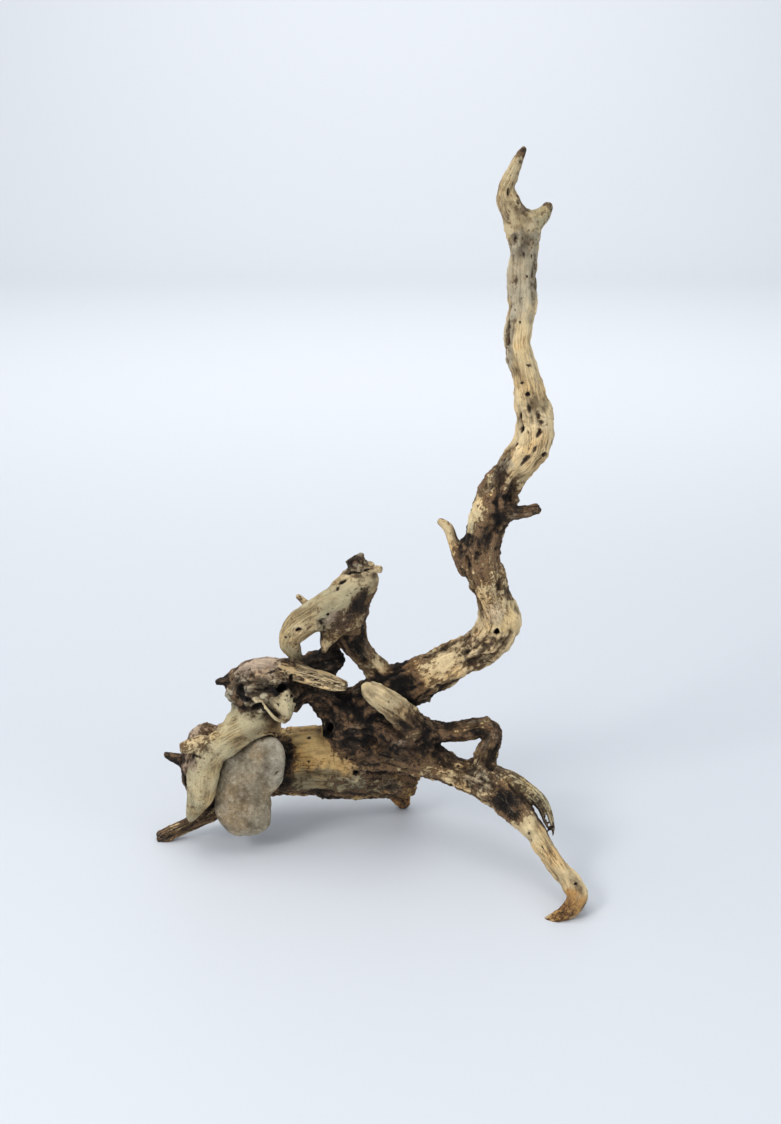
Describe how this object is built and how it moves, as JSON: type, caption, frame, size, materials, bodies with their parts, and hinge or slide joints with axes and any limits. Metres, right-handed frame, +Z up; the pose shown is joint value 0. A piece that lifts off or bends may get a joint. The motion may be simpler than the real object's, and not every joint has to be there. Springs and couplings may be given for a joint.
{
  "type": "dry root",
  "caption": "Dry weathered tree root with a tall forked stem, gnarled branches and a long leg, standing on its own feet and gripping a flat river stone.",
  "frame": {"origin": "on the floor, below the centre of the bounding box", "axes": "+Z up along the tall stem, +X towards the side of the long leg and stem, -Y towards the side the long leg reaches to"},
  "size_m": [0.3051, 0.1718, 0.4961],
  "materials": {
    "weathered_wood": "dry, bark-stripped, cracked, matt",
    "river_stone": "fine-grained, water-worn, matt"
  },
  "bodies": {
    "root": {"dry_root": "weathered_wood", "river_stone": "river_stone"}
  },
  "joints": []
}
